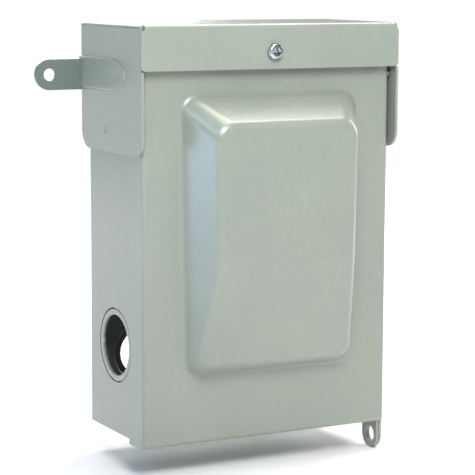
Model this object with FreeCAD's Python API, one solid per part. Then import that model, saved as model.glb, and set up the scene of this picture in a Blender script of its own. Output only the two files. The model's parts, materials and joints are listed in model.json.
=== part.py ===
"""An outdoor AC disconnect box: a pull-out switch in a folded steel enclosure.

The enclosure is a back panel with two side walls welded to its folds, closed by two end caps. A rain hood
with deep side wings is welded over its top, and an embossed front cover swings up on two pins hidden
behind the wings.
Inside, a moulded base carries four wire lugs and four contact jaws. A pull-out with two U-shaped blades
bridges the jaws, and a dead front covers the live parts.

Units are millimetres. The front faces -Y and +Z is up. The origin is at the middle of the back face. `face`
is the outer face of the cover, `bottom` is its lower edge, and `base` is the inside of the enclosure's back.
"""
import FreeCAD
import Part
import math
import os

V = FreeCAD.Vector
X = V(1, 0, 0)
Y = V(0, 1, 0)
Z = V(0, 0, 1)

# Driving dimensions
height = 190.0              # lower edge of the cover to the top of the hood
depth = 62.0                # outer face of the cover to the wall
cover_width = 127.0
hood_width = 132.0
sheet = 1.2                 # steel thickness, 18 gauge
slip = 0.3                  # gap where one sheet passes another
running = 0.06              # radial clearance on the cover's pins
bend_r = 2.0                # outer radius of the folds

lip_height = 20.3           # front lip of the hood
lip_reach = 4.2             # the lip stands this far in front of the cover
wing_height = 58.0
screw_drop = 12.7           # hood screw, below the top of the hood
cover_height = 172.5        # the cover ends behind the lip
cover_flange = 15.0         # depth of the cover's side flanges
bottom_flange = 12.0
pivot_in = 2.5              # cover pins, behind the face
pivot_up = 166.0            # cover pins, above the lower edge
pivot_r = 1.5
swing_r = 7.6               # room for the top of the cover as it swings in

# Knockouts of trade sizes 1/2, 3/4 and 1 inch
half_inch_r = 11.1
three_quarter_r = 14.1
inch_r = 17.15
knockout_gap = 0.2
side_knockout_in = 33.2     # behind the face
side_knockout_up = 42.4
back_knockout_x = 35.8
back_knockout_up = 32.0
floor_knockout_x = 31.0

# Embossed pocket of the cover: heights above its face, and places above its lower edge
bump_height = 19.0
bump_foot_top = 158.5
bump_front_top = 146.3
bump_crease = 81.2          # below it the front slopes back
bump_low_height = 7.3       # height left at the lower end of the slope
bump_low_end = 35.5
bump_foot_bottom = 31.6
bump_foot_half = 45.3       # half width of the foot at its top
bump_foot_half_low = 43.0
bump_front_half = 36.0
bump_corner_r = 7.0
bump_shoulder_r = 4.5
foot_r = 2.5

# Switch: heights above the inside of the enclosure's back
pole_x = 14.0
line_z = 41.0
load_z = -5.0
base_half = 42.0
base_low = -37.0
base_high = 73.0
base_h = 10.0
strap_h = 12.0
jaw_h = 34.0
blade_tip_h = 24.0
shield_h = 46.8
handle_h = 65.8
blade_t = 2.0
blade_clear = 0.05
leaf_t = 1.2

top = height / 2
bottom = -height / 2
face = -depth
base = -sheet
middle_z = (line_z + load_z) / 2
half = cover_width / 2
hood_half = hood_width / 2
wing_in = hood_half - sheet
wall = half - sheet - slip              # outer face of the enclosure's sides
inner = wall - sheet
wall_front = face + 4.5
wall_top = top - sheet
cap_bottom = bottom + sheet + slip
pivot_y = face + pivot_in
pivot_z = bottom + pivot_up
cover_top = bottom + cover_height
lip_out = face - lip_reach
lip_bottom = top - lip_height
wing_bottom = top - wing_height
screw_z = top - screw_drop
poles = (-pole_x, pole_x)


def box(x0, x1, y0, y1, z0, z1):
    return Part.makeBox(x1 - x0, y1 - y0, z1 - z0, V(x0, y0, z0))


def rod(direction, start, r, length):
    return Part.makeCylinder(r, length, V(*start), direction)


def fuse(shapes):
    whole = shapes[0]
    for shape in shapes[1:]:
        whole = whole.fuse(shape)
    return whole.removeSplitter()


def cut(shape, tools):
    for tool in tools:
        shape = shape.cut(tool)
    return shape.removeSplitter()


def mirrored(shape):
    """The same shape on the other side of the centre plane."""
    return shape.mirror(V(0, 0, 0), X)


def both_sides(shape):
    return [shape, mirrored(shape)]


def group(shapes):
    """Identical pieces as separate solids of one node."""
    return Part.makeCompound(shapes)


def edges(shape, x=None, y=None, z=None):
    """The edges whose ends and middle all lie at the coordinates given."""
    def lies(edge):
        ends = (edge.FirstParameter, edge.LastParameter)
        points = [edge.valueAt(t) for t in (ends[0], sum(ends) / 2, ends[1])]
        wanted = [(0, x), (1, y), (2, z)]
        return all(abs(p[axis] - value) < 1e-4 for p in points for axis, value in wanted if value is not None)

    return [edge for edge in shape.Edges if lies(edge)]


def plate(points, across, start, thickness):
    """A flat plate from an outline of (a, b) or (a, b, r) points, where r rounds that corner.
    The outline is in (y, z) for a plate across X, and in (x, z) for one across Y."""
    def place(p):
        return V(start, p.x, p.y) if across.x else V(p.x, start, p.y)

    corners = [V(p[0], p[1], 0) for p in points]
    radii = [p[2] if len(p) > 2 else 0 for p in points]
    stops = []
    for i, corner in enumerate(corners):
        back = (corners[i - 1] - corner).normalize()
        ahead = (corners[(i + 1) % len(corners)] - corner).normalize()
        half_turn = back.getAngle(ahead) / 2
        run = radii[i] / math.tan(half_turn)
        reach = radii[i] / math.sin(half_turn) - radii[i]
        nearest = corner + (back + ahead).normalize() * reach if radii[i] else corner
        stops.append((corner + back * run, nearest, corner + ahead * run))
    outline = []
    for i, (first, nearest, last) in enumerate(stops):
        if radii[i]:
            outline.append(Part.Arc(place(first), place(nearest), place(last)).toShape())
        following = stops[(i + 1) % len(stops)][0]
        if following.distanceToPoint(last) > 1e-6:
            outline.append(Part.makeLine(place(last), place(following)))
    return Part.Face(Part.Wire(outline)).extrude(across * thickness)


# Knockouts

def disc(centre, out, r, sunk=0.0, thickness=sheet):
    """A disc whose outer face lies `sunk` below `centre`, where `out` points out of the enclosure."""
    return Part.makeCylinder(r, thickness, V(*centre) - out * (thickness + sunk), out)


def knockout_hole(centre, out, r):
    return disc(centre, out, r + knockout_gap, -2, 6)


def knockout_ring(centre, out, tie, r_in, r_out, sunk=0.0):
    """A ring, or a plug if r_in is 0, with two small tabs along `tie` that hold it in the sheet around it."""
    tab_t = sheet - 0.3 - sunk
    size = out * tab_t + tie * 2 * (r_out + knockout_gap) + out.cross(tie) * 2.4
    size = V(abs(size.x), abs(size.y), abs(size.z))
    corner = V(*centre) - out * (tab_t / 2 + 0.15 + sunk) - size * 0.5
    bar = Part.makeBox(size.x, size.y, size.z, corner)
    band = disc(centre, out, r_out + knockout_gap, -1, 4).cut(disc(centre, out, r_out - 0.4, -1, 4))
    ring = disc(centre, out, r_out, sunk).fuse(bar.common(band))
    if r_in:
        ring = ring.cut(disc(centre, out, r_in + knockout_gap, -1, 4))
    return ring.removeSplitter()


side_y = face + side_knockout_in
side_z = bottom + side_knockout_up
back_z = bottom + back_knockout_up
left_place = (-wall, side_y, side_z)
right_place = (wall, side_y, side_z)
back_left_place = (-back_knockout_x, 0, back_z)
back_right_place = (back_knockout_x, 0, back_z)
floor_places = [(x, side_y, cap_bottom) for x in (-floor_knockout_x, floor_knockout_x)]


def left_knockout_ring():
    """The ring that stays after the plug was punched out, which also pushed it in a little."""
    return knockout_ring(left_place, -X, Z, three_quarter_r - knockout_gap, inch_r, 0.15)


def right_knockout_ring():
    return knockout_ring(right_place, X, Z, three_quarter_r, inch_r)


def right_knockout_plug():
    return knockout_ring(right_place, X, Y, 0, three_quarter_r)


def back_left_outer_ring():
    return knockout_ring(back_left_place, Y, Z, three_quarter_r, inch_r)


def back_left_inner_ring():
    """Its middle is punched out, to take a half-inch fitting."""
    return knockout_ring(back_left_place, Y, X, half_inch_r - knockout_gap, three_quarter_r)


def back_right_ring():
    return knockout_ring(back_right_place, Y, Z, three_quarter_r, inch_r)


def back_right_plug():
    return knockout_ring(back_right_place, Y, X, 0, three_quarter_r)


def floor_knockout_plugs():
    return group([knockout_ring(place, -Z, X, 0, three_quarter_r) for place in floor_places])


# Enclosure

fold_end = -3.2             # where a side wall meets the back panel's fold
tab_half = 6.4
tab_y = face + 8.4
tab_z = bottom - 7.7
padlock_r = 3.97
mount_hole_r = 3.25
wall_screw_r = 2.0
base_screw_x = 36.0
base_screw_z = (base_low + 6, base_high - 6)
base_screw_places = [(x, z) for x in (-base_screw_x, base_screw_x) for z in base_screw_z]
ground_z = bottom + 40.0
mount_z = (bottom + 14, top - 12)


def padlock_tab(x):
    """The eye for the padlock, hanging below a sheet whose inner face is at x."""
    strip = box(x, x + sheet, tab_y - tab_half, tab_y + tab_half, tab_z, bottom + 4)
    eye = strip.fuse(rod(X, (x, tab_y, tab_z), tab_half, sheet))
    return cut(eye, [rod(X, (x - 1, tab_y, tab_z), padlock_r, sheet + 2)])


def wrapper():
    """The back and both sides, as the sheet runs round them."""
    outside = box(-wall, wall, wall_front, 0, cap_bottom, wall_top)
    outside = outside.makeFillet(bend_r, edges(outside, x=-wall, y=0) + edges(outside, x=wall, y=0))
    inside = box(-inner, inner, wall_front - 5, base, cap_bottom - 5, wall_top + 5)
    folds = edges(inside, x=-inner, y=base) + edges(inside, x=inner, y=base)
    inside = inside.makeFillet(bend_r - sheet, folds)
    holes = [knockout_hole(left_place, -X, inch_r), knockout_hole(right_place, X, inch_r)]
    holes += [knockout_hole(place, Y, inch_r) for place in (back_left_place, back_right_place)]
    holes += [rod(-Y, (x, 1, z), wall_screw_r, 5) for x, z in base_screw_places]
    holes += [rod(-Y, (0, 1, z), mount_hole_r, 5) for z in mount_z]
    holes.append(rod(-Y, (0, 1, ground_z), wall_screw_r, 5))
    holes.append(rod(X, (-wall - 1, pivot_y, pivot_z), swing_r, 2 * wall + 2))
    return cut(outside.cut(inside).fuse(padlock_tab(inner)), holes)


def back_panel():
    """The back, with a short fold at each side that the side walls are butt-welded to."""
    return wrapper().common(box(-half, half, fold_end, 1, bottom, top))


def left_side_wall():
    return wrapper().common(box(-half, 0, face, fold_end, bottom, top))


def right_side_wall():
    """It carries the padlock eye, below the bottom of the cover."""
    return wrapper().common(box(0, half, face, fold_end, tab_z - tab_half - 1, top))


def end_cap(outer_z, inward, front_low, front_high, front_half):
    """A tray that closes one end: its plate, two side flanges and a front flange."""
    plate_z = sorted((outer_z, outer_z + inward * sheet))
    flange_z = sorted((outer_z, outer_z + inward * 9))
    tray = box(-inner, inner, wall_front, base - 1, *plate_z)
    front = box(-front_half, front_half, wall_front, wall_front + sheet, front_low, front_high)
    flange = box(inner - sheet, inner, wall_front + 8, base - 2, *flange_z)
    cap = fuse([tray, front] + both_sides(flange))
    return cap.makeFillet(1.2, edges(cap, y=wall_front, z=outer_z))


def top_end_cap():
    """The roof. Its front flange takes the hood screw."""
    cap = end_cap(wall_top, -1, pivot_z + swing_r + 0.2, wall_top, inner)
    return cut(cap, [rod(Y, (0, wall_front - 2, screw_z), 2.0, 8)])


def bottom_end_cap():
    cap = end_cap(cap_bottom, 1, cap_bottom, cap_bottom + 7, inner)
    return cut(cap, [knockout_hole(place, -Z, three_quarter_r) for place in floor_places])


# Hood, ears and pins

wing_back = -1.3
ear_sheet = 1.5
ear_half = 7.1
ear_z = bottom + 165.6
leg_z = ear_z + 1.4
leg_nose = face + 12.8
ear_x = -hood_half - ear_sheet
ear_hole_x = 82.1
ear_hole_r = 2.85
weld_y = face + 29.5
dot_y = face + 33.7
dot_z = bottom + 141.8


def rain_hood():
    wing_front = lip_out + sheet + 0.1
    low = top - sheet
    shell = box(-hood_half, hood_half, wing_front, wing_back, wing_bottom, top)
    shell = shell.makeFillet(bend_r, edges(shell, x=-hood_half, z=top) + edges(shell, x=hood_half, z=top))
    hollow = box(-wing_in, wing_in, wing_front - 5, 5, wing_bottom - 5, low)
    folds = edges(hollow, x=-wing_in, z=low) + edges(hollow, x=wing_in, z=low)
    hollow = hollow.makeFillet(bend_r - sheet, folds)
    # Below the lip the wings come forward, level with its outer face.
    strip = box(wing_in, hood_half, lip_out, wing_front + 1, wing_bottom, lip_bottom - 0.4)
    outline = [
        (lip_out, lip_bottom - 0.4), (lip_out, wing_bottom, 7.0), (wing_back, wing_bottom, 8.5),
        (wing_back, top), (wing_front, top), (wing_front, lip_bottom - 0.4),
    ]
    sides = fuse([shell.cut(hollow)] + both_sides(strip))
    sides = sides.common(plate(outline, X, -hood_half - 1, hood_width + 2))
    # The lip folds down from the roof, and its upper corners are clipped to clear the wings.
    fold_half = hood_half - 1.8
    fold = box(-fold_half, fold_half, lip_out, wing_front + 3, lip_bottom, top)
    fold = fold.makeFillet(bend_r, edges(fold, y=lip_out, z=top))
    scoop = box(-hood_half, hood_half, lip_out + sheet, wing_front + 5, lip_bottom - 5, low)
    scoop = scoop.makeFillet(bend_r - sheet, edges(scoop, y=lip_out + sheet, z=low))
    lip = plate(
        [
            (-hood_half, lip_bottom, 2.0), (hood_half, lip_bottom, 2.0), (hood_half, top - 3.6),
            (fold_half, top - bend_r), (-fold_half, top - bend_r), (-hood_half, top - 3.6),
        ],
        Y, lip_out, sheet,
    )
    hood = fuse([sides, fold.cut(scoop), lip])
    # Pressed standoffs carry the wings on the walls, where they are spot-welded.
    for y, z, r in ((weld_y, leg_z, 3.6), (dot_y, dot_z, 2.8)):
        hood = fuse([hood] + both_sides(Part.makeCone(r, r - 0.8, wing_in - wall, V(wing_in, y, z), -X)))
    marks = both_sides(Part.makeCone(1.9, 1.5, 0.4, V(hood_half, dot_y, dot_z), -X))
    return cut(hood, marks + [rod(Y, (0, lip_out - 1, screw_z), 2.3, 4)])


def ear_leg():
    """The leg runs straight from the wall, and ends in half an ellipse."""
    nose_length = 2.2 * ear_half
    low = leg_z - ear_half
    centre = V(ear_x, leg_nose + nose_length, leg_z)
    ellipse = Part.Ellipse(centre - Y * nose_length, centre + Z * ear_half, centre)
    disc_face = Part.Face(Part.Wire(ellipse.toShape()))
    nose = disc_face.extrude(X * ear_sheet)
    body = box(ear_x, ear_x + ear_sheet, centre.y, 0, low, low + 2 * ear_half)
    return fuse([nose, body])


def left_mounting_ear():
    """A plate against the wall, and a leg that is welded to the outside of the wing."""
    flat = fuse([
        box(-ear_hole_x, ear_x + ear_sheet, -ear_sheet, 0, ear_z - ear_half, ear_z + ear_half),
        rod(-Y, (-ear_hole_x, 0, ear_z), ear_half, ear_sheet),
    ])
    dimple = Part.makeCone(2.9, 1.7, 0.7, V(ear_x, weld_y, leg_z), X)
    return cut(fuse([flat, ear_leg()]), [rod(-Y, (-ear_hole_x, 1, ear_z), ear_hole_r, 4), dimple])


def right_mounting_ear():
    return mirrored(left_mounting_ear())


def cover_pivot_pins():
    """Pins welded inside the wings. The collar of each one keeps the cover centred."""
    start = (wing_in, pivot_y, pivot_z)
    pin = fuse([rod(-X, start, pivot_r, wing_in - wall), rod(-X, start, 2.3, wing_in - half - slip)])
    return group(both_sides(pin))


def pan_screw(x, y, z, r, length, head_r, head_h):
    """A slotted pan-head screw that points along +Y, with the underside of its head at y."""
    head = rod(-Y, (x, y, z), head_r, head_h)
    head = head.makeFillet(0.7 * head_h, edges(head, y=y - head_h))
    slot_half = 0.16 * head_r
    slot = box(x - head_r, x + head_r, y - head_h - 1, y - 0.45 * head_h, z - slot_half, z + slot_half)
    return fuse([rod(Y, (x, y, z), r, length), head.cut(slot)])


def hood_screw():
    return pan_screw(0, lip_out, screw_z, 2.0, 11.0, 3.9, 2.4)


# Front cover

def half_space(point, normal):
    """A very large block on the side of a plane that its normal points to."""
    size = 400.0
    block = Part.makeBox(size, size, size, V(-size / 2, -size / 2, 0))
    block.Placement = FreeCAD.Placement(point, FreeCAD.Rotation(Z, normal))
    return block


def on_cover(h, up, x=0.0):
    return V(x, face - h, bottom + up)


def bump_planes():
    """A point and the outward normal of each face of the embossed pocket."""
    front_top = on_cover(bump_height, bump_front_top)
    crease = on_cover(bump_height, bump_crease)
    slope_end = on_cover(bump_low_height, bump_low_end)
    foot_top = on_cover(0, bump_foot_top)
    foot_bottom = on_cover(0, bump_foot_bottom)
    side_top = on_cover(0, bump_foot_top, bump_foot_half)
    side_bottom = on_cover(0, bump_foot_bottom, bump_foot_half_low)
    side_front = on_cover(bump_height, bump_foot_top, bump_front_half)
    right = (side_front - side_top).cross(side_bottom - side_top)
    planes = [
        (front_top, Y),
        (crease, (slope_end - crease).cross(X)),
        (foot_top, (front_top - foot_top).cross(X)),
        (foot_bottom, (slope_end - foot_bottom).cross(X)),
        (side_top, right),
        (V(-side_top.x, side_top.y, side_top.z), V(-right.x, right.y, right.z)),
    ]
    inside = on_cover(1, 100)
    return [(point, normal * (1 if (point - inside).dot(normal) > 0 else -1)) for point, normal in planes]


def is_corner(edge):
    """A corner of the pocket runs from its foot to its front, away from the centre plane."""
    first, last = (vertex.Point for vertex in edge.Vertexes)
    return abs(first.y - last.y) > 4 and abs(first.x) > 10 and abs(first.z - last.z) < 16


def is_crease(edge):
    bounds = edge.BoundBox
    return bounds.ZLength < 0.01 and bounds.YLength < 0.01 and abs(bounds.ZMin - bottom - bump_crease) < 6


def bump(inset, back):
    """The embossed pocket as a block that ends at y = back. inset moves its sloping faces inwards."""
    block = box(-half, half, face - bump_height - 1, back, bottom + 10, bottom + 170)
    for point, normal in bump_planes():
        outward = V(normal).normalize()
        block = block.cut(half_space(point - outward * inset, outward))
    block = block.makeFillet(bump_corner_r - inset, [edge for edge in block.Edges if is_corner(edge)])
    rim = [edge for edge in block.Edges if edge.BoundBox.YMax < face - 3 and not is_crease(edge)]
    return block.makeFillet(bump_shoulder_r - inset, rim)


def cover_block(inset, back, cover_end):
    """The outline of the cover as a solid block: its pan and its pocket, moved in by inset."""
    x = half - inset
    y = face + inset
    z = bottom + inset
    pan = box(-x, x, y, back, z, cover_end)
    pan = pan.makeFillet(bend_r - inset, edges(pan, x=-x, y=y) + edges(pan, x=x, y=y) + edges(pan, y=y, z=z))
    block = pan.fuse(bump(inset, y + 2)).removeSplitter()
    foot = [edge for edge in edges(block, y=y) if abs(edge.CenterOfMass.x) < half - 5
            and bottom + 20 < edge.CenterOfMass.z < bottom + 165]
    return block.makeFillet(foot_r + inset, foot)


def front_cover():
    back = face + cover_flange
    cover = cover_block(0, back, cover_top).cut(cover_block(sheet, back + 5, cover_top + 5))
    # The bottom flange is shallower than the sides, and stops clear of the enclosure's padlock tab.
    below = (bottom - 1, bottom + sheet + 0.3)
    notch_r = side_knockout_in - cover_flange + 2.2
    trims = [
        box(-half + sheet, half - sheet, face + bottom_flange, back + 1, *below),
        box(inner - 1, half - sheet, face + 1.6, back + 1, *below),
        box(-half + sheet, -half + sheet + 1, face + 1.6, back + 1, *below),
        rod(X, (-half - 1, side_y, side_z), notch_r, cover_width + 2),
    ]
    trims += both_sides(rod(X, (wall, pivot_y, pivot_z), pivot_r + running, 4))
    return cut(cover, trims).fuse(padlock_tab(half - sheet)).removeSplitter()


# Switch

rib_t = 3.0
rib_h = 31.0
base_seat_h = 6.5           # seat of the base's own screws
small_screw_r = 1.5
post_r = 4.5
post_x = 36.0
post_places = [(x, z) for x in (-post_x, post_x) for z in (-18.0, 54.0)]
shield_half = 44.0
shield_low = -30.0
shield_high = 66.0
shield_t = 2.0
window_half = 26.0
window_low = middle_z - 31.0
window_high = middle_z + 31.0
lug_width = 12.0
lug_tall = 14.0
lug_long = 14.0
lug_bore_h = 5.6            # middle of the wire's bore, above the strap
lug_bore_r = 4.0
lug_screw_r = 3.0
lug_reach = 17.0            # from the jaw to the wire lug
strap_screw_reach = 6.5     # from the middle of the blade to the strap's screw
contacts = [(x, z, side) for x in poles for z, side in ((line_z, 1), (load_z, -1))]


def y_at(h):
    """The y of a height above the inside of the enclosure's back."""
    return base - h


def block(x0, x1, h0, h1, z0, z1):
    return box(x0, x1, y_at(h1), y_at(h0), z0, z1)


def switch_base():
    """A moulded plate with barriers beside each pole and posts for the dead front."""
    corners = [(-base_half, base_low), (base_half, base_low), (base_half, base_high), (-base_half, base_high)]
    body = plate([(x, z, 3) for x, z in corners], Y, y_at(base_h), base_h)
    ribs = [
        block(x - rib_t / 2, x + rib_t / 2, base_h - 1, rib_h, base_low + 8, base_high - 8)
        for x in (-2 * pole_x, 0, 2 * pole_x)
    ]
    post_h = shield_h - shield_t
    posts = [rod(-Y, (x, y_at(base_h - 1), z), post_r, post_h - base_h + 1) for x, z in post_places]
    holes = [rod(Y, (x, y_at(post_h + 1), z), small_screw_r, 14) for x, z in post_places]
    holes += [rod(Y, (x, y_at(base_h + 1), z), wall_screw_r, base_h + 2) for x, z in base_screw_places]
    holes += [rod(-Y, (x, y_at(base_seat_h), z), 5.0, 20) for x, z in base_screw_places]
    holes += [
        rod(Y, (x, y_at(strap_h), z + side * strap_screw_reach), small_screw_r, 10) for x, z, side in contacts
    ]
    return cut(fuse([body] + ribs + posts), holes)


def base_screws():
    seat = y_at(base_seat_h)
    return group([pan_screw(x, seat, z, wall_screw_r, 7.2, 4.0, 2.6) for x, z in base_screw_places])


def contact_straps():
    """A flat bar for each contact, from under its wire lug to past its jaw."""
    straps = []
    for x, z, side in contacts:
        near, far = sorted((z - side * 7.0, z + side * (lug_reach + 7.5)))
        bar = block(x - 6, x + 6, base_h, strap_h, near, far)
        straps.append(cut(bar, [rod(Y, (x, y_at(strap_h + 1), z + side * strap_screw_reach), 1.7, 4)]))
    return group(straps)


def strap_screws():
    places = [(x, z + side * strap_screw_reach) for x, z, side in contacts]
    return group([pan_screw(x, y_at(strap_h), z, small_screw_r, 7.0, 2.6, 1.6) for x, z in places])


def contact_jaw(x, z):
    """Two leaves on a common foot that take the blade between them. Their tips open outwards."""
    gap = blade_t / 2 + blade_clear
    leaf = block(x + gap, x + gap + leaf_t, strap_h, jaw_h - 3, z - 6, z + 3)
    tip_top, tip_foot = y_at(jaw_h), y_at(jaw_h - 3)
    tip_points = [(tip_foot, z - 6), (tip_top, z - 6, 1.5), (tip_top, z + 3, 1.5), (tip_foot, z + 3)]
    tip = plate(tip_points, X, x + gap + 0.3, leaf_t - 0.3)
    leaves = leaf.fuse(tip)
    foot = block(x - gap - leaf_t, x + gap + leaf_t, strap_h, strap_h + 1.6, z - 6, z + 3)
    return fuse([leaves, leaves.mirror(V(x, 0, 0), X), foot])


def contact_jaws():
    return group([contact_jaw(x, z if side > 0 else z + 3) for x, z, side in contacts])


def jaw_springs():
    """Steel clips that press the two leaves of each jaw together."""
    outer = blade_t / 2 + blade_clear + leaf_t
    clips = []
    for x, z, side in contacts:
        low = z - 6 if side > 0 else z - 3
        clip = block(x - outer - 0.8, x + outer + 0.8, 16, 21, low - 0.8, low + 9.8)
        clips.append(clip.cut(block(x - outer, x + outer, 15, 22, low, low + 9)))
    return group(clips)


def wire_lugs():
    lugs = []
    for x, z, side in contacts:
        z += side * lug_reach
        low, high = z - lug_long / 2, z + lug_long / 2
        lug = block(x - lug_width / 2, x + lug_width / 2, strap_h, strap_h + lug_tall, low, high)
        lug = lug.makeFillet(1.0, edges(lug, y=y_at(strap_h + lug_tall)))
        wire_way = rod(Z, (x, y_at(strap_h + lug_bore_h), low - 1), lug_bore_r, lug_long + 2)
        lugs.append(cut(lug, [wire_way, rod(Y, (x, y_at(strap_h + lug_tall + 1), z), lug_screw_r, 8)]))
    return group(lugs)


def set_screw(x, z, h, r, length):
    """A headless slotted screw whose top is at height h."""
    screw = rod(Y, (x, y_at(h), z), r, length)
    screw = screw.makeFillet(0.4, edges(screw, y=y_at(h)))
    return cut(screw, [block(x - r, x + r, h - 1.4, h + 1, z - 0.6, z + 0.6)])


def lug_screws():
    top_h = strap_h + lug_tall + 2
    return group([set_screw(x, z + side * lug_reach, top_h, lug_screw_r, 6.0) for x, z, side in contacts])


def dead_front():
    """A moulded shield over the live parts, with a window that guides the pull-out."""
    under = shield_h - shield_t
    front = block(-shield_half, shield_half, under, shield_h, shield_low, shield_high)
    skirt = block(-shield_half, -shield_half + shield_t, 12, shield_h, shield_low, shield_high)
    end_lows = (shield_low, shield_high - shield_t)
    ends = [block(-shield_half, shield_half, 34, shield_h, z, z + shield_t) for z in end_lows]
    shield = fuse([front] + both_sides(skirt) + ends)
    shield = shield.makeFillet(1.2, edges(shield, y=y_at(shield_h)))
    rim = block(-window_half - 2, window_half + 2, under - 5, under + 1, window_low - 2, window_high + 2)
    window = block(-window_half, window_half, 30, 60, window_low, window_high)
    holes = [rod(Y, (x, y_at(60), z), 1.8, 20) for x, z in post_places]
    return cut(shield.fuse(rim), [window] + holes)


def dead_front_screws():
    return group([pan_screw(x, y_at(shield_h), z, 1.5, 10.0, 3.2, 2.0) for x, z in post_places])


# Pull-out

window_clear = 0.4
body_half = window_half - window_clear
body_low = window_low + window_clear
body_high = window_high - window_clear
body_h = 56.0
seat_h = shield_h + window_clear
rivet_h = 48.0
rivet_places = [(x, z) for x in poles for z in (middle_z - 16.0, middle_z + 16.0)]


def blade(x):
    """A U of flat copper: a leg into the line jaw, a leg into the load jaw, and the bridge between them."""
    x0 = x - blade_t / 2
    root, tip = y_at(44), y_at(blade_tip_h)
    legs = [
        plate([(root, z - 5), (root, z + 5), (tip, z + 5, 2.5), (tip, z - 5, 2.5)], X, x0, blade_t)
        for z in (load_z, line_z)
    ]
    return fuse([block(x0, x0 + blade_t, 40, 51, load_z - 5, line_z + 5)] + legs)


def rivet_holes():
    return [rod(X, (x - 5, y_at(rivet_h), z), 1.6, 10) for x, z in rivet_places]


def pullout_blades():
    return group([cut(blade(x), rivet_holes()) for x in poles])


def blade_rivets():
    rivets = []
    for x, z in rivet_places:
        pin = rod(X, (x - 4.8, y_at(rivet_h), z), 1.6, 9.6)
        heads = [rod(X, (start, y_at(rivet_h), z), 2.6, 0.8) for start in (x - 4.8, x + 4.0)]
        rivets.append(fuse([pin] + heads))
    return group(rivets)


def pullout_handle():
    """A moulded block with a flange that meets the dead front, and a grip to pull it by."""
    body = block(-body_half, body_half, 40, body_h, body_low, body_high)
    body = body.makeFillet(2.0, edges(body, y=y_at(body_h)))
    hollow = block(-body_half + 3, body_half - 3, 36, body_h - 3, body_low + 3, body_high - 3)
    flange = block(-body_half - 3, body_half + 3, seat_h, seat_h + 2.4, body_low - 3, body_high + 3)
    flange = cut(flange, [block(-body_half + 1, body_half - 1, 30, 60, body_low + 1, body_high - 1)])
    flange = flange.makeFillet(0.8, edges(flange, y=y_at(seat_h + 2.4)))
    stem = block(-9, 9, body_h - 1, handle_h - 4, middle_z - 3.5, middle_z + 3.5)
    grip = block(-20, 20, handle_h - 7, handle_h, middle_z - 6, middle_z + 6)
    grip = grip.makeFillet(2.4, grip.Edges)
    webs = [block(x - 4, x + 4, 42, body_h - 2, middle_z - 26, middle_z + 26) for x in poles]
    handle = fuse([body.cut(hollow), flange, stem, grip] + webs)
    return cut(handle, [blade(x) for x in poles] + rivet_holes())


# Ground

wire_z = ground_z + 10.5


def ground_lug():
    """A bonding lug: its foot is screwed to the back, and the wire goes through its block."""
    foot = block(-5, 5, 0, 3, ground_z - 6, ground_z + 16)
    barrel = block(-5, 5, 0, 13, ground_z + 5, ground_z + 16)
    barrel = barrel.makeFillet(1.0, edges(barrel, y=y_at(13)))
    holes = [
        rod(Y, (0, y_at(4), ground_z), 2.2, 6),
        rod(X, (-6, y_at(6.4), wire_z), 3.0, 12),
        rod(Y, (0, y_at(14), wire_z), 2.5, 8),
    ]
    return cut(fuse([foot, barrel]), holes)


def ground_foot_screw():
    return pan_screw(0, y_at(3), ground_z, 2.0, 3.8, 4.0, 2.4)


def ground_wire_screw():
    return set_screw(0, wire_z, 15.5, 2.5, 5.5)


makers = [
    back_panel, left_side_wall, right_side_wall, top_end_cap, bottom_end_cap, left_knockout_ring,
    right_knockout_ring, right_knockout_plug, back_left_outer_ring, back_left_inner_ring, back_right_ring,
    back_right_plug, floor_knockout_plugs, rain_hood, hood_screw, left_mounting_ear, right_mounting_ear,
    cover_pivot_pins, front_cover, switch_base, base_screws, contact_straps, strap_screws, contact_jaws,
    jaw_springs, wire_lugs, lug_screws, dead_front, dead_front_screws, pullout_handle, pullout_blades,
    blade_rivets, ground_lug, ground_foot_screw, ground_wire_screw,
]

os.makedirs("parts", exist_ok=True)
for make in makers:
    node = make.__name__
    shape = make()
    if not shape.isValid():
        raise ValueError(node + " is not a valid shape")
    shape.exportStep("parts/" + node + ".step")
    print(node, len(shape.Solids), "solids,", round(shape.Volume), "mm3")
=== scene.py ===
import json
from math import cos, pi, radians, sin

import bmesh
import bpy
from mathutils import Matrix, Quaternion, Vector


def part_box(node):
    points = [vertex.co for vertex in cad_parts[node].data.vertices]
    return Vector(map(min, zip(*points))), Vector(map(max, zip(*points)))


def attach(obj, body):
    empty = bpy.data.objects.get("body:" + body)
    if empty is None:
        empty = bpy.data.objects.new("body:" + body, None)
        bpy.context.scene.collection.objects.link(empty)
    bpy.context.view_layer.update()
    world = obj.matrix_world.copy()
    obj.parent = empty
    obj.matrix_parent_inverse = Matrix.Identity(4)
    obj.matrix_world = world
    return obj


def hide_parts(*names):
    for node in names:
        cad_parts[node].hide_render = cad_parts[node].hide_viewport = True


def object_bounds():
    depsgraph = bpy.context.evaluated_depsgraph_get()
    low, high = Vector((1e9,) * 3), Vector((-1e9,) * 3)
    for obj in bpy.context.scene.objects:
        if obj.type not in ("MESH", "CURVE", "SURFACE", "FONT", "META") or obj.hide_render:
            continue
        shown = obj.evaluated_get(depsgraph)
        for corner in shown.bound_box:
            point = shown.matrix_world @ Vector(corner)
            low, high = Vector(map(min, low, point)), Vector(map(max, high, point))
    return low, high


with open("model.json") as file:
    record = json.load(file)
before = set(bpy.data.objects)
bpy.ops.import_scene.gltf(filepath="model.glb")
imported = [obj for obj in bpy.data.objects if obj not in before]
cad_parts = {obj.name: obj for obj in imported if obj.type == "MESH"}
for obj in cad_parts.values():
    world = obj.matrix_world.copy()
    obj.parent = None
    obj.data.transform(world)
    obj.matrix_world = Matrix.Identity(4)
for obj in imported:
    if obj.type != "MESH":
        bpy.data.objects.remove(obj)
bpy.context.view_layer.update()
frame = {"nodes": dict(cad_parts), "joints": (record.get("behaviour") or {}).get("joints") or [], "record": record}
mm = 0.001
print("frame loaded:", len(frame["nodes"]), "nodes")

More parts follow.
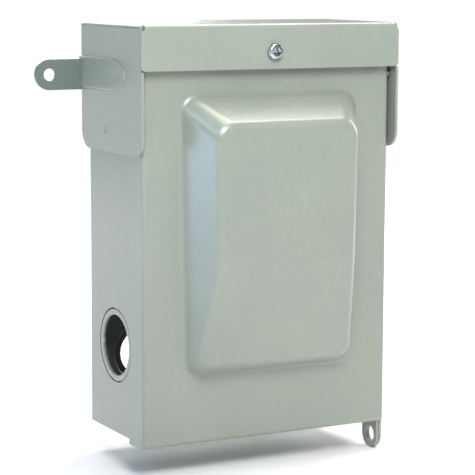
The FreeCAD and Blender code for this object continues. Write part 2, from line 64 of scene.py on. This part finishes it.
# where things are, from the frame
coverLow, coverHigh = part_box("front_cover")
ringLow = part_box("left_knockout_ring")[0]
screwLow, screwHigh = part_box("hood_screw")
earLow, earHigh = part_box("left_mounting_ear")
mounts = {m["name"]: m for m in frame["record"]["mounts"]}
coverHinge = next(j for j in frame["joints"] if j["name"] == "cover_hinge")
sheet = 1.2 * mm


def deselect():
    if bpy.context.object and bpy.context.object.mode != "OBJECT":
        bpy.ops.object.mode_set(mode="OBJECT")
    bpy.ops.object.select_all(action="DESELECT")


def begin(piece):
    deselect()
    bpy.context.view_layer.objects.active = piece
    piece.select_set(True)
    bpy.ops.object.mode_set(mode="EDIT")
    bpy.ops.mesh.select_all(action="DESELECT")


def pick(kind, test):
    # kind is VERT, EDGE or FACE; test gets the element's middle and the element
    piece = bpy.context.object
    bpy.ops.mesh.select_mode(type=kind)
    bpy.ops.mesh.select_all(action="DESELECT")
    mesh = bmesh.from_edit_mesh(piece.data)
    group = {"VERT": mesh.verts, "EDGE": mesh.edges, "FACE": mesh.faces}[kind]
    found = 0
    for e in group:
        if kind == "VERT":
            middle = e.co
        elif kind == "EDGE":
            middle = (e.verts[0].co + e.verts[1].co) / 2
        else:
            middle = e.calc_center_median()
        if test(middle, e):
            e.select_set(True)
            found += 1
    mesh.select_flush_mode()
    bmesh.update_edit_mesh(piece.data)
    return found


def near(a, b, reach=0.02 * mm):
    return abs(a - b) < reach


def spans(edge, axis):
    # an edge that runs along one axis
    d = edge.verts[1].co - edge.verts[0].co
    return d.length > 1e-7 and abs(d[axis]) > 0.999 * d.length


def bevel(offset, segments):
    bpy.ops.mesh.bevel(offset=offset, segments=segments, affect="EDGES", clamp_overlap=True)


def extrude(x=0.0, y=0.0, z=0.0):
    bpy.ops.mesh.extrude_region_move(TRANSFORM_OT_translate={"value": (x, y, z)})


def place(operator, **settings):
    # adds a primitive, turned and placed in its mesh
    deselect()
    operator(**settings)
    bpy.ops.object.transform_apply(location=True, rotation=True, scale=True)
    return bpy.context.object


def modifier(piece, kind, **settings):
    deselect()
    bpy.context.view_layer.objects.active = piece
    piece.select_set(True)
    m = piece.modifiers.new(kind.title(), kind)
    for key, value in settings.items():
        setattr(m, key, value)
    bpy.ops.object.modifier_apply(modifier=m.name)


def combine(piece, tool, operation):
    modifier(piece, "BOOLEAN", operation=operation, object=tool, solver="EXACT")
    bpy.data.objects.remove(tool, do_unlink=True)


def rodAlong(axis, spot, r, length, sides=64):
    turn = {"X": (0, pi / 2, 0), "Y": (pi / 2, 0, 0), "Z": (0, 0, 0)}[axis]
    return place(bpy.ops.mesh.primitive_cylinder_add, vertices=sides, radius=r, depth=length,
                 location=spot, rotation=turn)


def block(low, high):
    low, high = Vector(low), Vector(high)
    piece = place(bpy.ops.mesh.primitive_cube_add, size=1.0)
    piece.scale = high - low
    piece.location = (low + high) / 2
    bpy.ops.object.transform_apply(location=True, rotation=True, scale=True)
    return piece


def settle(piece, name, angle=35):
    # names a finished piece, merges doubles, turns faces outwards and smooths shallow angles
    piece.name = name
    piece.data.name = name
    begin(piece)
    bpy.ops.mesh.select_all(action="SELECT")
    bpy.ops.mesh.remove_doubles(threshold=0.002 * mm)
    bpy.ops.mesh.normals_make_consistent(inside=False)
    bpy.ops.object.mode_set(mode="OBJECT")
    bpy.ops.object.transform_apply(location=True, rotation=True, scale=True)
    bpy.ops.object.shade_smooth_by_angle(angle=radians(angle))


def finishPiece(piece, name, material, body, nodes, angle=35):
    settle(piece, name, angle)
    piece.data.materials.clear()
    piece.data.materials.append(material)
    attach(piece, body)
    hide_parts(*nodes)
    print(name, "modelled:", len(piece.data.polygons), "faces")


def linear(hexColour):
    parts = [int(hexColour[i:i + 2], 16) / 255 for i in (1, 3, 5)]
    return [c / 12.92 if c <= 0.04045 else ((c + 0.055) / 1.055) ** 2.4 for c in parts] + [1.0]


def addNode(material, kind, settings=None, **inputs):
    # an input is a value or another node's output; _ stands for a space, and iN is input number N
    node = material.node_tree.nodes.new(kind)
    for key, value in (settings or {}).items():
        if key == "stops":
            ramp = node.color_ramp
            while len(ramp.elements) < len(value):
                ramp.elements.new(1.0)
            for element, (position, colour) in zip(ramp.elements, value):
                element.position = position
                element.color = colour
        else:
            setattr(node, key, value)
    for key, value in inputs.items():
        byNumber = key[0] == "i" and key[1:].isdigit()
        socket = node.inputs[int(key[1:])] if byNumber else node.inputs[key.replace("_", " ")]
        if isinstance(value, bpy.types.NodeSocket):
            material.node_tree.links.new(value, socket)
        else:
            socket.default_value = value
    return node


def newMaterial(name):
    material = bpy.data.materials.new(name)
    material.use_nodes = True
    material.node_tree.nodes.clear()
    return material


def finishWith(material, shader):
    out = material.node_tree.nodes.new("ShaderNodeOutputMaterial")
    material.node_tree.links.new(shader.outputs["BSDF"], out.inputs["Surface"])
    return material


def grey(v):
    return (v, v, v, 1.0)


def perMetre(millimetres):
    return 1000.0 / millimetres


bakedEnamel = {
    "base": "#899187",           # light grey with a green cast
    "thin": "#858D84",           # where the paint ran thinner
    "chalk": "#8D958B",          # faint weathered bloom
    "dust": "#7C837A",           # fine specks of dust in the coat
    "dustShare": 0.22,
    "speckMm": 2.5,
    "roughness": 0.33,
    "smoother": 0.03,            # how far the roughness drifts below and above that
    "rougher": 0.05,
    "coat": 0.5,                 # the flowed, shinier top of the paint
    "coatRoughness": 0.18,
    "peelMm": 1.6,              # orange peel, drawn a little coarser than the real 1 mm so that it shows
    "peelDepth": 0.05,
    "driftMm": 45.0,
    "panMm": 60.0,               # long shallow waves of the pressed sheet
    "panDepth": 0.05,
}
# the ears' flanges get a darker copy of the same paint: painted shade, standing in for the shade the wings cast on
# them
paintedShadeCoat = {"base": "#636E6A", "thin": "#5F6A66", "chalk": "#68736F", "dust": "#5B6561"}


def makeBakedEnamel(name, e):
    # baked polyester powder coat on steel: half glossy, with a fine orange peel that breaks up reflections
    m = newMaterial(name)
    spot = addNode(m, "ShaderNodeTexCoord").outputs["Object"]
    drift = addNode(m, "ShaderNodeTexNoise", Vector=spot, Scale=perMetre(e["driftMm"]),
                    Detail=4.0, Roughness=0.55)
    fine = addNode(m, "ShaderNodeTexNoise", Vector=spot, Scale=perMetre(e["speckMm"]),
                   Detail=3.0, Roughness=0.6)
    driftRamp = addNode(
        m, "ShaderNodeValToRGB",
        {"stops": [(0.25, linear(e["thin"])), (0.52, linear(e["base"])), (0.80, linear(e["chalk"]))]},
        Fac=drift.outputs["Fac"])
    speck = addNode(m, "ShaderNodeValToRGB", {"stops": [(0.40, grey(0.0)), (0.75, grey(e["dustShare"]))]},
                    Fac=fine.outputs["Fac"])
    tinted = addNode(
        m, "ShaderNodeMix", {"data_type": "RGBA"}, i0=speck.outputs["Color"], i6=driftRamp.outputs["Color"],
        i7=linear(e["dust"]))
    sheen = addNode(m, "ShaderNodeMapRange", Value=drift.outputs["Fac"], i1=0.3, i2=0.75,
                    i3=e["roughness"] - e["smoother"], i4=e["roughness"] + e["rougher"])
    peel = addNode(m, "ShaderNodeTexNoise", Vector=spot, Scale=perMetre(e["peelMm"]),
                   Detail=1.5, Roughness=0.4)
    pan = addNode(m, "ShaderNodeTexNoise", Vector=spot, Scale=perMetre(e["panMm"]),
                  Detail=1.0, Roughness=0.4)
    waves = addNode(m, "ShaderNodeBump", Strength=e["panDepth"], Distance=2.0 * mm,
                    Height=pan.outputs["Fac"])
    skin = addNode(m, "ShaderNodeBump", Strength=e["peelDepth"], Distance=0.5 * mm,
                   Height=peel.outputs["Fac"], Normal=waves.outputs["Normal"])
    shader = addNode(
        m, "ShaderNodeBsdfPrincipled", Base_Color=tinted.outputs[2], Roughness=sheen.outputs[0],
        Normal=skin.outputs["Normal"], Metallic=0.0, IOR=1.5, Coat_Weight=e["coat"],
        Coat_Roughness=e["coatRoughness"])
    return finishWith(m, shader)


def makeMetal(name, base, dull, roughness, grainMm, stretch, depth):
    # a plated or bare metal: fine lengthwise grain, and duller patches where it has been handled
    m = newMaterial(name)
    spot = addNode(m, "ShaderNodeTexCoord").outputs["Object"]
    stretched = addNode(m, "ShaderNodeMapping", Vector=spot, Scale=stretch)
    grain = addNode(m, "ShaderNodeTexNoise", Vector=stretched.outputs["Vector"], Scale=perMetre(grainMm),
                    Detail=4.0)
    patchMm = 5.0
    patches = addNode(m, "ShaderNodeTexNoise", Vector=spot, Scale=perMetre(patchMm), Detail=3.0)
    colour = addNode(m, "ShaderNodeValToRGB", {"stops": [(0.35, linear(base)), (0.8, linear(dull))]},
                     Fac=patches.outputs["Fac"])
    rough = addNode(m, "ShaderNodeMapRange", Value=grain.outputs["Fac"], i1=0.3, i2=0.7,
                    i3=roughness - 0.06, i4=roughness + 0.10)
    bump = addNode(m, "ShaderNodeBump", Strength=depth, Distance=0.1 * mm, Height=grain.outputs["Fac"])
    shader = addNode(m, "ShaderNodeBsdfPrincipled", Base_Color=colour.outputs["Color"], Metallic=1.0,
                     Roughness=rough.outputs[0], Normal=bump.outputs["Normal"])
    return finishWith(m, shader)


def makeMoulding(name, base, dusty, roughness, grainMm):
    # a moulded plastic: a fine spark-eroded grain, and a little dust that lightens it
    m = newMaterial(name)
    spot = addNode(m, "ShaderNodeTexCoord").outputs["Object"]
    grain = addNode(m, "ShaderNodeTexVoronoi", Vector=spot, Scale=perMetre(grainMm))
    dustMm = 14.0
    cloud = addNode(m, "ShaderNodeTexNoise", Vector=spot, Scale=perMetre(dustMm), Detail=5.0)
    colour = addNode(m, "ShaderNodeValToRGB", {"stops": [(0.4, linear(base)), (0.85, linear(dusty))]},
                     Fac=cloud.outputs["Fac"])
    rough = addNode(m, "ShaderNodeMapRange", Value=cloud.outputs["Fac"], i1=0.3, i2=0.7,
                    i3=roughness - 0.05, i4=roughness + 0.08)
    bump = addNode(m, "ShaderNodeBump", Strength=0.18, Distance=0.1 * mm, Height=grain.outputs["Distance"])
    shader = addNode(m, "ShaderNodeBsdfPrincipled", Base_Color=colour.outputs["Color"],
                     Roughness=rough.outputs[0], Normal=bump.outputs["Normal"], IOR=1.5)
    return finishWith(m, shader)


enamel = makeBakedEnamel("bakedGreyEnamel", bakedEnamel)
# a darker copy of the enamel, which is painted shade for the ears' flanges
earPaintedShadeEnamel = makeBakedEnamel("paintedShadeGreyEnamel", {**bakedEnamel, **paintedShadeCoat})
zinc = makeMetal("brightZincPlate", "#C2C8CA", "#858D92", 0.17, 0.6, (1.0, 1.0, 0.25), 0.25)
tinned = makeMetal("tinPlatedAluminium", "#C3C6C8", "#9FA3A6", 0.38, 0.8, (0.3, 1.0, 1.0), 0.35)
copper = makeMetal("tarnishedCopper", "#B9764F", "#8A5138", 0.32, 0.7, (1.0, 0.3, 1.0), 0.30)
phenolic = makeMoulding("blackPhenolic", "#1B1B1C", "#2E2E2F", 0.42, 0.5)
greyPlastic = makeMoulding("greyThermoplastic", "#6E7473", "#7F8584", 0.45, 0.6)
slotFinish = {
    "grey_enamel": enamel, "zinc_steel": zinc, "tinned_aluminium": tinned, "plated_copper": copper,
    "black_moulding": phenolic, "grey_moulding": greyPlastic,
}
nodeSlot = {s["node"]: s["material_slot"] for s in frame["record"]["subparts"]}
for node, part in frame["nodes"].items():
    part.data.materials.clear()
    part.data.materials.append(slotFinish[nodeSlot[node]])
print("materials made")


cover = {
    "bumpHeight": 19.0 * mm,
    "bendOffset": 2.0 * mm,
    "flange": 15.0 * mm,
    "bottomFlange": 12.0 * mm,
    "tabDrop": 14.1 * mm,        # the padlock eye hangs this far below the cover
    "tabHalf": 6.4 * mm,
    "tabIn": 8.4 * mm,           # middle of the eye, behind the face
    "tabUp": 6.0 * mm,           # how far the eye's plate runs up inside the cover
    "footTop": 158.5 * mm,       # from here down to footBottom: above the cover's lower edge
    "frontTop": 146.3 * mm,
    "crease": 81.2 * mm,
    "lowEnd": 35.5 * mm,
    "footBottom": 31.6 * mm,
    "lowHeight": 7.3 * mm,
    "footHalf": 45.3 * mm,
    "footHalfLow": 43.0 * mm,
    "frontHalf": 36.0 * mm,
    "cornerTop": 8.0 * mm,
    "cornerLow": 6.0 * mm,
    "shoulder": 2.8 * mm,
    "foot": 1.6 * mm,
    "creaseSoftness": 2.6 * mm,
    "notchClear": 2.2 * mm,
    "pinHoleR": 1.56 * mm,
    "burr": 0.14 * mm,
    "firstInset": 12.0 * mm,     # the pocket's outline starts this far inside the blank's edge
    "reliefTall": 1.5 * mm,      # the lower flange is cut back, and cut free of the side flanges
    "reliefFrom": 1.6 * mm,
    "reliefRight": 2.5 * mm,
    "reliefLeft": 1.0 * mm,
}
pocketReach = 60 * mm            # the pocket lies nearer to the middle than this, and the flanges beyond
past = 1 * mm                    # how far a cutting block runs past what it cuts
faceY = coverLow.y + cover["bumpHeight"]
coverBottom = coverLow.z + cover["tabDrop"]
creaseZ = coverBottom + cover["crease"]


def bumpHalf(up, height):
    # half the pocket's width at a place on its side slope
    c = cover
    taper = (c["footHalf"] - c["footHalfLow"]) / (c["footTop"] - c["footBottom"])
    lean = (c["footHalf"] - c["frontHalf"]) / c["bumpHeight"]
    return c["footHalf"] - taper * (c["footTop"] - up) - lean * height


def moveCorners(height, isTop, half, up, newHeight):
    # moves the two vertices at this height, above or below the crease, to their new places
    for side in (-1, 1):
        spot = Vector((side * half, faceY - newHeight, coverBottom + up))
        found = []

        def isCorner(co, vertex):
            inside = abs(co.x) < pocketReach and near(co.y, faceY - height)
            if inside and not near(co.z, creaseZ) and co.x * side > 0 and (co.z > creaseZ) == isTop:
                found.append(co.copy())
                return True
            return False

        pick("VERT", isCorner)
        bpy.ops.transform.translate(value=spot - found[0])


def isFront(face):
    return face.normal.y < -0.9


def foldCover():
    # a plate with the pocket drawn out of it and its flanges folded back, still without thickness
    c = cover
    width = coverHigh.x - coverLow.x
    tall = coverHigh.z - coverBottom
    piece = place(bpy.ops.mesh.primitive_plane_add, size=1.0, rotation=(pi / 2, 0, 0))
    piece.scale = (width, 1, tall)
    piece.location = (0, faceY, coverBottom + tall / 2)
    bpy.ops.object.transform_apply(location=True, rotation=True, scale=True)
    begin(piece)
    bpy.ops.mesh.select_all(action="SELECT")
    bpy.ops.mesh.inset(thickness=c["firstInset"])
    moveCorners(0, True, c["footHalf"], c["footTop"], 0)
    moveCorners(0, False, c["footHalfLow"], c["footBottom"], 0)
    pick("FACE", lambda co, f: all(abs(v.co.x) < pocketReach for v in f.verts))
    extrude(y=-c["bumpHeight"])
    high = c["bumpHeight"]
    moveCorners(high, True, bumpHalf(c["frontTop"], high), c["frontTop"], high)
    moveCorners(high, False, bumpHalf(c["lowEnd"], high), c["lowEnd"], high)
    pick("FACE", lambda co, f: co.y < faceY - 1 * mm)
    bpy.ops.mesh.bisect(plane_co=(0, 0, creaseZ), plane_no=(0, 0, 1))
    moveCorners(high, False, bumpHalf(c["lowEnd"], c["lowHeight"]), c["lowEnd"], c["lowHeight"])
    # the crease, the four corners, the shoulder and the foot are rounded in turn; the plain
    # distances in the tests only tell one group of edges from another
    pick("EDGE", lambda co, e: all(near(v.co.z, creaseZ) for v in e.verts))
    bevel(c["creaseSoftness"], 4)
    for isTop, offset in ((True, c["cornerTop"]), (False, c["cornerLow"])):
        pick("EDGE", lambda co, e: abs(e.verts[0].co.y - e.verts[1].co.y) > 5 * mm and abs(co.x) > 30 * mm
             and (co.z > creaseZ + 40 * mm if isTop else co.z < creaseZ - 40 * mm))
        bevel(offset, 9)
    pick("EDGE", lambda co, e: co.y < faceY - 3 * mm and len(e.link_faces) == 2
         and isFront(e.link_faces[0]) != isFront(e.link_faces[1]))
    bevel(c["shoulder"], 7)
    pick("EDGE", lambda co, e: all(near(v.co.y, faceY) for v in e.verts) and abs(co.x) < pocketReach
         and len(e.link_faces) == 2 and any(not isFront(f) for f in e.link_faces))
    bevel(c["foot"], 5)
    # the flanges fold back from both sides and from the lower edge
    pick("EDGE", lambda co, e: len(e.link_faces) == 1 and not near(co.z, coverHigh.z))
    extrude(y=c["flange"])
    pick("EDGE", lambda co, e: all(near(v.co.y, faceY) for v in e.verts) and len(e.link_faces) == 2
         and (near(abs(co.x), coverHigh.x) or near(co.z, coverBottom)))
    bevel(c["bendOffset"], 6)
    bpy.ops.mesh.select_all(action="SELECT")
    bpy.ops.mesh.normals_make_consistent(inside=False)
    bpy.ops.object.mode_set(mode="OBJECT")
    modifier(piece, "SOLIDIFY", thickness=sheet, offset=-1.0, use_even_offset=True)
    return piece


def padlockTab(inX):
    # a round-ended tab with the padlock's hole
    c = cover
    eye = mounts["padlock_eye"]
    y = faceY + c["tabIn"]
    high = (inX + sheet, y + c["tabHalf"], coverBottom + c["tabUp"])
    tab = block((inX, y - c["tabHalf"], coverLow.z), high)
    begin(tab)
    pick("EDGE", lambda co, e: near(co.z, coverLow.z) and spans(e, 0))
    bevel(c["tabHalf"] * 0.999, 16)
    bpy.ops.object.mode_set(mode="OBJECT")
    combine(tab, rodAlong("X", (inX, y, eye["pos_m"][2]), eye["dims"]["r_mm"] * mm, 8 * mm), "DIFFERENCE")
    return tab


def trimCover(piece):
    c = cover
    x = coverHigh.x
    inX = x - sheet
    under, over = coverBottom - past, coverBottom + c["reliefTall"]
    back = faceY + c["flange"] + past
    cuts = [((-inX, faceY + c["bottomFlange"], under), (inX, back, over))]
    for low, high in ((inX - c["reliefRight"], inX), (-inX, -inX + c["reliefLeft"])):
        cuts.append(((low, faceY + c["reliefFrom"], under), (high, back, over)))
    for low, high in cuts:
        combine(piece, block(low, high), "DIFFERENCE")
    knockout = mounts["left_conduit_knockout"]["pos_m"]
    notchR = knockout[1] - faceY - c["flange"] + c["notchClear"]
    combine(piece, rodAlong("X", (0, knockout[1], knockout[2]), notchR, 2 * x + 10 * mm, 160), "DIFFERENCE")
    pin = coverHinge["pos_m"]
    combine(piece, rodAlong("X", (0, pin[1], pin[2]), c["pinHoleR"], 2 * x + 10 * mm, 48), "DIFFERENCE")
    combine(piece, padlockTab(inX), "UNION")
    modifier(piece, "BEVEL", width=c["burr"], segments=2, limit_method="ANGLE", angle_limit=radians(55))


frontCover = foldCover()
trimCover(frontCover)
finishPiece(frontCover, "frontCover", enamel, "cover", ["front_cover"], 40)
modifier(frontCover, "WEIGHTED_NORMAL", keep_sharp=True, weight=80)


hoodScrew = {
    "headR": 3.85 * mm,
    "headHeight": 2.35 * mm,
    "dome": 1.7 * mm,
    "shankR": 2.0 * mm,
    "slotHalf": 0.45 * mm,
    "slotDepth": 0.8 * mm,
    "crossReach": 2.1 * mm,
    "crossHalf": 0.62 * mm,
    "crossDepth": 1.5 * mm,
    "recessTaper": 0.55,         # the cross narrows to this share of its width at its floor
    "worn": 0.10 * mm,
    "setBack": 0.05 * mm,
}


def makeHoodScrew():
    # a pan head with a straight slot and a cross recess; its underside rests on the lip
    h = hoodScrew
    z = (screwLow.z + screwHigh.z) / 2
    front = screwLow.y + h["setBack"]
    seat = front + h["headHeight"]
    piece = rodAlong("Y", (0, (front + seat) / 2, z), h["headR"], h["headHeight"])
    begin(piece)
    pick("EDGE", lambda co, e: all(near(v.co.y, front) for v in e.verts))
    bevel(h["dome"], 8)
    pick("FACE", lambda co, f: near(co.y, seat) and f.normal.y > 0.9)
    bpy.ops.mesh.inset(thickness=h["headR"] - h["shankR"])
    extrude(y=screwHigh.y - seat)
    bpy.ops.object.mode_set(mode="OBJECT")
    slotLow = (-h["headR"] - past, front - past, z - h["slotHalf"])
    slotHigh = (h["headR"] + past, front + h["slotDepth"], z + h["slotHalf"])
    combine(piece, block(slotLow, slotHigh), "DIFFERENCE")
    for wide, tall in ((h["crossReach"], h["crossHalf"]), (h["crossHalf"], h["crossReach"])):
        recess = block((-wide, front - 0.5 * mm, z - tall), (wide, front + h["crossDepth"], z + tall))
        begin(recess)
        pick("FACE", lambda co, f: f.normal.y > 0.9)
        bpy.ops.transform.resize(value=(h["recessTaper"], 1, h["recessTaper"]))
        bpy.ops.object.mode_set(mode="OBJECT")
        combine(piece, recess, "DIFFERENCE")
    modifier(piece, "BEVEL", width=h["worn"], segments=2, limit_method="ANGLE", angle_limit=radians(40))
    return piece


finishPiece(makeHoodScrew(), "hoodScrew", zinc, "enclosure", ["hood_screw"], 30)


ear = {
    "sheet": 1.5 * mm,
    "half": 7.1 * mm,
    "legNose": 15.6 * mm,
    "proud": 0.55 * mm,          # the leg is pressed in and painted over, so little of it stands out
    "softEdge": 0.4 * mm,
    "holeR": 2.85 * mm,
    "spotY": 32.5 * mm,
    "spotR": 2.7 * mm,           # dish left by the spot weld
    "spotDepth": 0.18 * mm,
    "plateEdge": 0.2 * mm,
}
wingX = earHigh.x                # the left wing's outer face
legFace = wingX - ear["proud"]
legZ = earHigh.z - ear["half"]
plateZ = earLow.z + ear["half"]
holeX = earLow.x + ear["half"]


def makeEarLeg():
    # half an ellipse for the nose, drawn out to the wall and thickened off the wing
    r = ear
    noseY = earLow.y + r["legNose"]
    leg = place(bpy.ops.mesh.primitive_circle_add, vertices=96, radius=r["half"], fill_type="NGON",
                location=(wingX, noseY, legZ), rotation=(0, pi / 2, 0))
    begin(leg)
    bpy.ops.mesh.select_all(action="SELECT")
    bpy.ops.transform.resize(value=(1, r["legNose"] / r["half"], 1), center_override=(wingX, noseY, legZ))
    bpy.ops.mesh.bisect(plane_co=(0, noseY, 0), plane_no=(0, 1, 0), clear_outer=True)
    pick("EDGE", lambda co, e: all(near(v.co.y, noseY) for v in e.verts))
    extrude(y=-noseY)
    bpy.ops.mesh.select_all(action="SELECT")
    extrude(x=-r["proud"])
    bpy.ops.mesh.select_all(action="SELECT")
    bpy.ops.mesh.normals_make_consistent(inside=False)
    pick("EDGE", lambda co, e: all(near(v.co.x, legFace) for v in e.verts)
         and co.y < -0.1 * mm and len(e.link_faces) == 2 and e.calc_face_angle() > 1.0)
    bevel(r["softEdge"], 4)
    bpy.ops.object.mode_set(mode="OBJECT")
    # the weld's dish is the cap of a large ball
    ballR = (r["spotR"] ** 2 + r["spotDepth"] ** 2) / (2 * r["spotDepth"])
    ball = place(bpy.ops.mesh.primitive_uv_sphere_add, segments=128, ring_count=64, radius=ballR,
                 location=(legFace + r["spotDepth"] - ballR, -r["spotY"], legZ), rotation=(0, pi / 2, 0))
    combine(leg, ball, "DIFFERENCE")
    return leg


def makeLeftEar():
    r = ear
    plate = block((earLow.x, -r["sheet"], plateZ - r["half"]), (wingX, 0, plateZ + r["half"]))
    begin(plate)
    pick("EDGE", lambda co, e: near(co.x, earLow.x) and spans(e, 1))
    bevel(r["half"] * 0.999, 24)
    bpy.ops.object.mode_set(mode="OBJECT")
    combine(plate, rodAlong("Y", (holeX, 0, plateZ), r["holeR"], 6 * mm), "DIFFERENCE")
    modifier(plate, "BEVEL", width=r["plateEdge"], segments=2, limit_method="ANGLE", angle_limit=radians(50))
    combine(plate, makeEarLeg(), "UNION")
    return plate


def finishEarWithPaintedShade(piece, name, node):
    # the flange outside the box gets the darker copy of the paint, which is painted shade
    finishPiece(piece, name, enamel, "enclosure", [node], 30)
    piece.data.materials.append(earPaintedShadeEnamel)
    for face in piece.data.polygons:
        if abs(face.center.x) > abs(legFace) + 0.05 * mm:
            face.material_index = 1
    modifier(piece, "WEIGHTED_NORMAL", keep_sharp=True, weight=80)


leftEar = makeLeftEar()
rightEar = leftEar.copy()
rightEar.data = leftEar.data.copy()
bpy.context.scene.collection.objects.link(rightEar)
rightEar.scale.x = -1
finishEarWithPaintedShade(leftEar, "leftMountingEar", "left_mounting_ear")
finishEarWithPaintedShade(rightEar, "rightMountingEar", "right_mounting_ear")


ring = {
    "innerR": 14.1 * mm,
    "outerR": 16.8 * mm,         # a gap is left round the ring, where the die sheared it
    "tieHalf": 1.2 * mm,
    "tieTall": 0.4 * mm,         # half the tie's height, enough to cross the gap
    "tieOut": 0.1 * mm,
    "tieIn": 0.3 * mm,
    "stubHalf": 1.1 * mm,
    "stubReach": 0.9 * mm,       # torn metal left where the middle was punched out
    "rollover": 0.25 * mm,       # the sheared edge rolls over a little
}


def makeKnockoutRing():
    r = ring
    spot = Vector(mounts["left_conduit_knockout"]["pos_m"])
    outer = ringLow.x
    piece = rodAlong("X", (outer + sheet / 2, spot.y, spot.z), r["outerR"], sheet, 120)
    begin(piece)
    pick("FACE", lambda co, f: abs(f.normal.x) > 0.9)
    bpy.ops.mesh.inset(thickness=r["outerR"] - r["innerR"])
    bpy.ops.mesh.bridge_edge_loops()
    pick("EDGE", lambda co, e: near(e.verts[0].co.x, e.verts[1].co.x) and e.calc_face_angle() > 1.0)
    bevel(r["rollover"], 3)
    bpy.ops.object.mode_set(mode="OBJECT")
    for side in (-1, 1):
        z = spot.z + side * (r["outerR"] + r["tieOut"])
        low = (outer + r["tieIn"], spot.y - r["tieHalf"], z - r["tieTall"])
        high = (outer + sheet - 0.05 * mm, spot.y + r["tieHalf"], z + r["tieTall"])
        combine(piece, block(low, high), "UNION")
    y = spot.y + r["innerR"]
    low = (outer + 0.1 * mm, y - r["stubReach"], spot.z - r["stubHalf"])
    high = (outer + sheet - r["tieIn"], y + 0.5 * mm, spot.z + r["stubHalf"])
    combine(piece, block(low, high), "UNION")
    return piece


finishPiece(makeKnockoutRing(), "leftKnockoutRing", enamel, "enclosure",
            ["left_knockout_ring"])


stage = {
    "radius": 30.0,
    "tone": 0.90,
    "glowFrom": 0.16,            # the floor is lit to white from here outwards, as a studio sweep is
    "glowFull": 0.90,
    "glow": 0.90,
}


def makeStage():
    s = stage
    floor = place(bpy.ops.mesh.primitive_circle_add, vertices=96, radius=s["radius"], fill_type="NGON")
    floor.location.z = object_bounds()[0][2]
    bpy.ops.object.transform_apply(location=True)
    floor.name = "floor"
    pale = newMaterial("paleFloor")
    spot = addNode(pale, "ShaderNodeTexCoord").outputs["Object"]
    cloud = addNode(pale, "ShaderNodeTexNoise", Vector=spot, Scale=3.0, Detail=2.0)
    tone = addNode(
        pale, "ShaderNodeValToRGB", {"stops": [(0.3, grey(s["tone"])), (0.7, grey(s["tone"] + 0.02))]},
        Fac=cloud.outputs["Fac"])
    away = addNode(pale, "ShaderNodeVectorMath", {"operation": "LENGTH"}, Vector=spot)
    glow = addNode(
        pale, "ShaderNodeMapRange", {"interpolation_type": "SMOOTHSTEP"}, Value=away.outputs["Value"],
        i1=s["glowFrom"], i2=s["glowFull"], i3=0.0, i4=s["glow"])
    floor.data.materials.append(finishWith(pale, addNode(
        pale, "ShaderNodeBsdfPrincipled", Base_Color=tone.outputs["Color"], Roughness=0.9,
        Emission_Color=grey(1.0), Emission_Strength=glow.outputs[0])))


def softbox(name, spot, aim, width, height, watts, colour):
    light = bpy.data.lights.new(name, "AREA")
    light.shape = "RECTANGLE"
    light.size = width
    light.size_y = height
    light.energy = watts
    light.color = linear(colour)[:3]
    lamp = bpy.data.objects.new(name, light)
    bpy.context.scene.collection.objects.link(lamp)
    lamp.location = spot
    lamp.rotation_euler = (Vector(aim) - Vector(spot)).to_track_quat("-Z", "Y").to_euler()
    lamp.visible_camera = False


studio = {
    "horizon": 0.26,             # brightness of the surroundings at the horizon and overhead
    "overhead": 0.12,
    "fade": 0.30,                # sine of the height at which the overhead brightness is reached
    # each box's name, place, aim, width, height, watts and colour
    "boxes": [
        ("leftPanel", (-0.85, 0.04, 0.05), (0, 0, 0.03), 0.22, 0.32, 1.15, "#A4C6FF"),
        ("leftSpot", (-0.60, -0.15, 0.46), (0, 0, 0.06), 0.20, 0.20, 0.7, "#A9D4FF"),
        ("overhead", (0.10, -0.10, 0.65), (0, -0.03, 0.04), 0.50, 0.30, 3.0, "#FFFAF0"),
        ("topBack", (0.30, 0.15, 0.60), (0, -0.05, 0.06), 0.30, 0.30, 2.6, "#FFFFFF"),
        ("leftFront", (-0.17, -0.52, 0.46), (0, -0.03, 0.04), 0.30, 0.30, 4.3, "#FFFFFF"),
        ("rightFront", (0.45, -0.70, 0.45), (0, 0, 0.05), 0.40, 0.40, 0.3, "#FFFFFF"),
        ("rightFill", (0.90, 0.15, 0.30), (0, 0, 0), 0.50, 0.50, 4.0, "#FFFFFF"),
        ("backFill", (0.15, 0.95, 0.35), (0, 0, 0), 0.60, 0.50, 6.0, "#FFFFFF"),
    ],
}


def makeStudio():
    s = studio
    world = bpy.data.worlds.new("studio")
    bpy.context.scene.world = world
    world.use_nodes = True
    direction = addNode(world, "ShaderNodeTexCoord").outputs["Generated"]
    height = addNode(world, "ShaderNodeSeparateXYZ", Vector=direction)
    shade = addNode(world, "ShaderNodeMapRange", Value=height.outputs["Z"], i1=0.05, i2=s["fade"],
                    i3=s["horizon"], i4=s["overhead"])
    world.node_tree.links.new(shade.outputs[0], world.node_tree.nodes["Background"].inputs["Strength"])
    world.node_tree.nodes["Background"].inputs["Color"].default_value = grey(1.0)
    for settings in s["boxes"]:
        softbox(*settings)
    bpy.context.scene.view_settings.view_transform = "Standard"


view = {
    "place": (-414.4 * mm, -806.1 * mm, 117.6 * mm),
    "yaw": 28.15,                # degrees to the right of straight at the cover
    "pitch": 8.02,               # degrees down
    "roll": 0.25,
    "lens": 142.7,
}


def makeCamera():
    yaw, pitch = radians(view["yaw"]), radians(view["pitch"])
    aim = Vector((sin(yaw) * cos(pitch), cos(yaw) * cos(pitch), -sin(pitch)))
    data = bpy.data.cameras.new("camera")
    data.lens = view["lens"]
    data.sensor_width = 36.0
    data.clip_start = 0.05
    camera = bpy.data.objects.new("camera", data)
    bpy.context.scene.collection.objects.link(camera)
    camera.location = view["place"]
    camera.rotation_mode = "QUATERNION"
    camera.rotation_quaternion = aim.to_track_quat("-Z", "Y") @ Quaternion((0, 0, 1), radians(view["roll"]))
    bpy.context.scene.camera = camera


makeStage()
makeStudio()
makeCamera()
print("stage, lights and camera placed")
